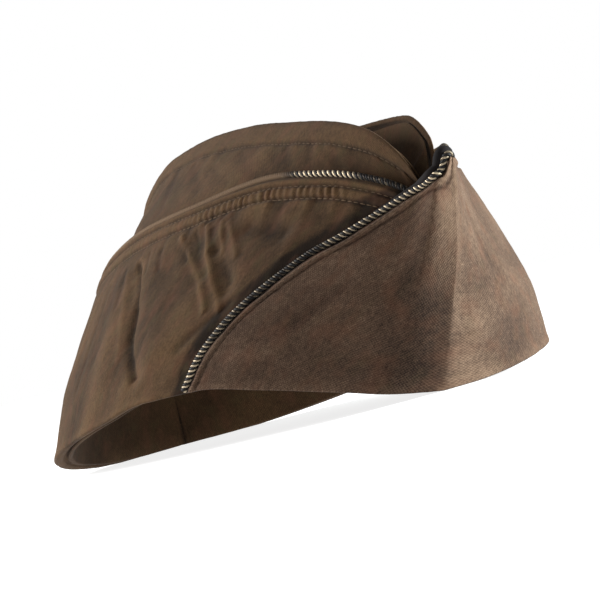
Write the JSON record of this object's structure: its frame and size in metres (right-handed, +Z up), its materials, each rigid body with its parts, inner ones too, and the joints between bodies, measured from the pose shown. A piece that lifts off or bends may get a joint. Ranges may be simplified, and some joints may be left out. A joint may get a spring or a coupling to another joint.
{
  "type": "garrison cap",
  "caption": "Folding cloth cap open on its rim, with a peaked crown, a turned-up curtain that wraps over the front as a flap, and corded piping along its free edges.",
  "frame": {"origin": "on the surface the rim stands on, under the middle of the cap's length and width", "axes": "-Y towards the front crease, +X towards the wearer's left, +Z up"},
  "size_m": [0.1548, 0.2494, 0.0965],
  "materials": {
    "crown_cloth": "smooth woven wool",
    "curtain_cloth": "smooth woven wool",
    "flap_cloth": "coarser woven wool",
    "piping_cord": "twisted metallic and dark thread"
  },
  "bodies": {
    "root": {"crown_right_panel": "crown_cloth", "crown_left_panel": "crown_cloth", "crown_top": "crown_cloth", "curtain_right": "curtain_cloth", "curtain_left": "flap_cloth", "piping_right": "piping_cord", "piping_left": "piping_cord"}
  },
  "joints": []
}
